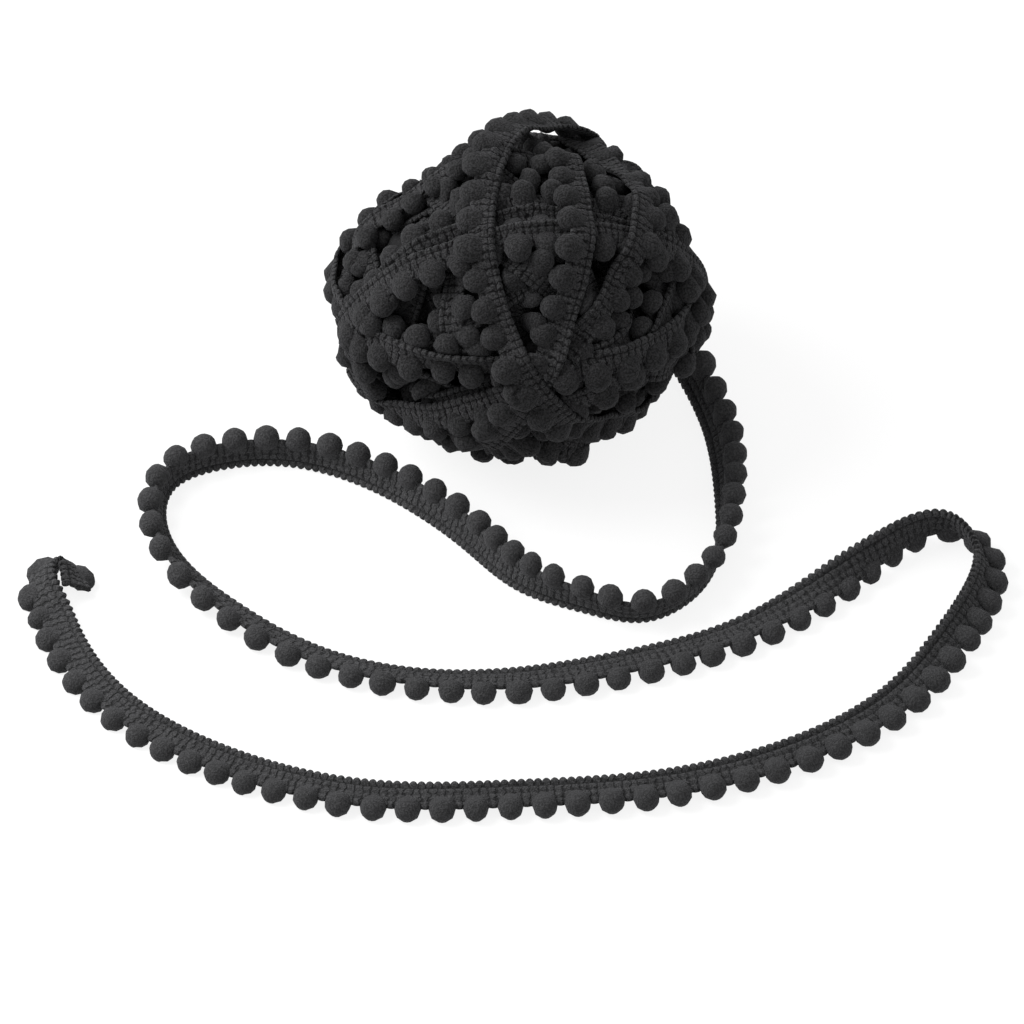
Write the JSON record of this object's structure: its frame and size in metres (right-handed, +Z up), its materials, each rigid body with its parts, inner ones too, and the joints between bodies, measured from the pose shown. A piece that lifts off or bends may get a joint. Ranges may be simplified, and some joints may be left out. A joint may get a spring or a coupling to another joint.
{
  "type": "pompom fringe trim wound as a ball with a loose end",
  "caption": "Narrow knitted tape edged with small pompoms, wound as a ball, its loose end lying in bends on the surface.",
  "frame": {"origin": "middle of the ball's flat spot, on the surface that it rests on", "axes": "+Z up, -Y toward the viewer, where the loose end lies, +X to the viewer's right"},
  "size_m": [0.1983, 0.1605, 0.0687],
  "materials": {
    "wound_trim": "matt knitted black yarn",
    "knitted_tape": "matt knitted black yarn",
    "pompom_yarn": "soft black yarn with a fine nap"
  },
  "bodies": {
    "root": {"wound_ball": "wound_trim", "loose_end_tape": "knitted_tape", "loose_end_pompoms": "pompom_yarn"}
  },
  "joints": []
}
